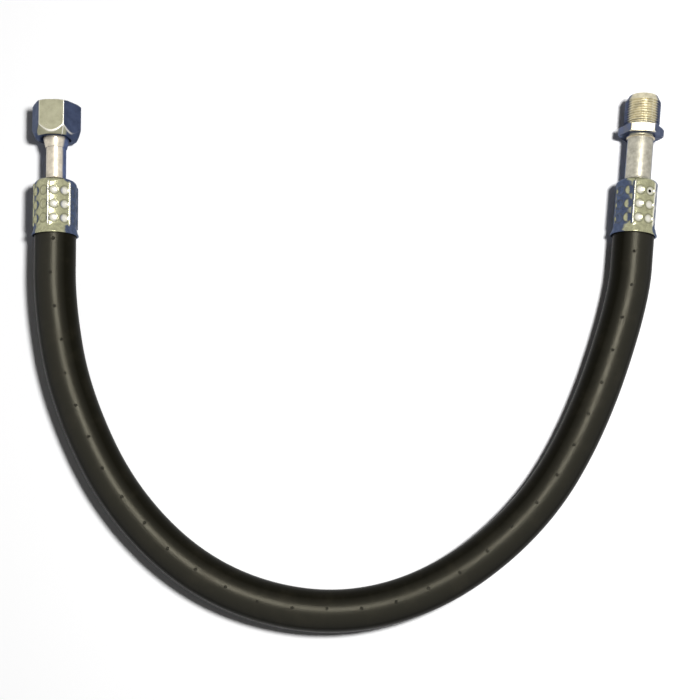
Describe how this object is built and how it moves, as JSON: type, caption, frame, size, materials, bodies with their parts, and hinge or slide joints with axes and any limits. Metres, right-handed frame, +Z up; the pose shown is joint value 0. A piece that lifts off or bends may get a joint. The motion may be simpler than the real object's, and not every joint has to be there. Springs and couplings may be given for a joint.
{
  "type": "hydraulic hose assembly",
  "caption": "Black wire-braided rubber hose with crimped steel ferrules, a female swivel nut on one end and a male thread on the other.",
  "frame": {"origin": "on the ground under the middle of the box round the two fittings, with the hose left out", "axes": "+X from the swivel end to the male end, +Y the way both fittings point, +Z up from the surface that the hose lies on"},
  "size_m": [0.3621, 0.3018, 0.0256],
  "materials": {
    "cover_rubber": "satin",
    "liner_rubber": "matte",
    "seal_rubber": "satin",
    "braid_wire": "drawn wire",
    "ferrule_plating": "zinc plated, satin",
    "fitting_plating": "zinc plated, bright",
    "nut_plating": "zinc plated, bright",
    "braze_metal": "zinc plated over braze"
  },
  "bodies": {
    "hose": {"hose_liner": "liner_rubber", "wire_braid": "braid_wire", "hose_cover": "cover_rubber", "female_end_ferrule": "ferrule_plating", "female_end_stem": "fitting_plating", "o_ring": "seal_rubber", "male_end_ferrule": "ferrule_plating", "male_end_stem": "fitting_plating", "braze_fillet": "braze_metal", "male_connector": "nut_plating"},
    "sleeve": {"thrust_sleeve": "fitting_plating"},
    "nut": {"swivel_nut": "nut_plating"}
  },
  "joints": [
    {"name": "sleeve_slide", "type": "slide", "parent": "hose", "child": "sleeve", "axis": [0.0208, -0.9998, 0], "range_m": [0, 0.018]},
    {"name": "nut_spin", "type": "hinge", "parent": "sleeve", "child": "nut", "pos_m": [-0.16697, 0.02559, 0.0128], "axis": [-0.0208, 0.9998, 0], "continuous": true}
  ]
}
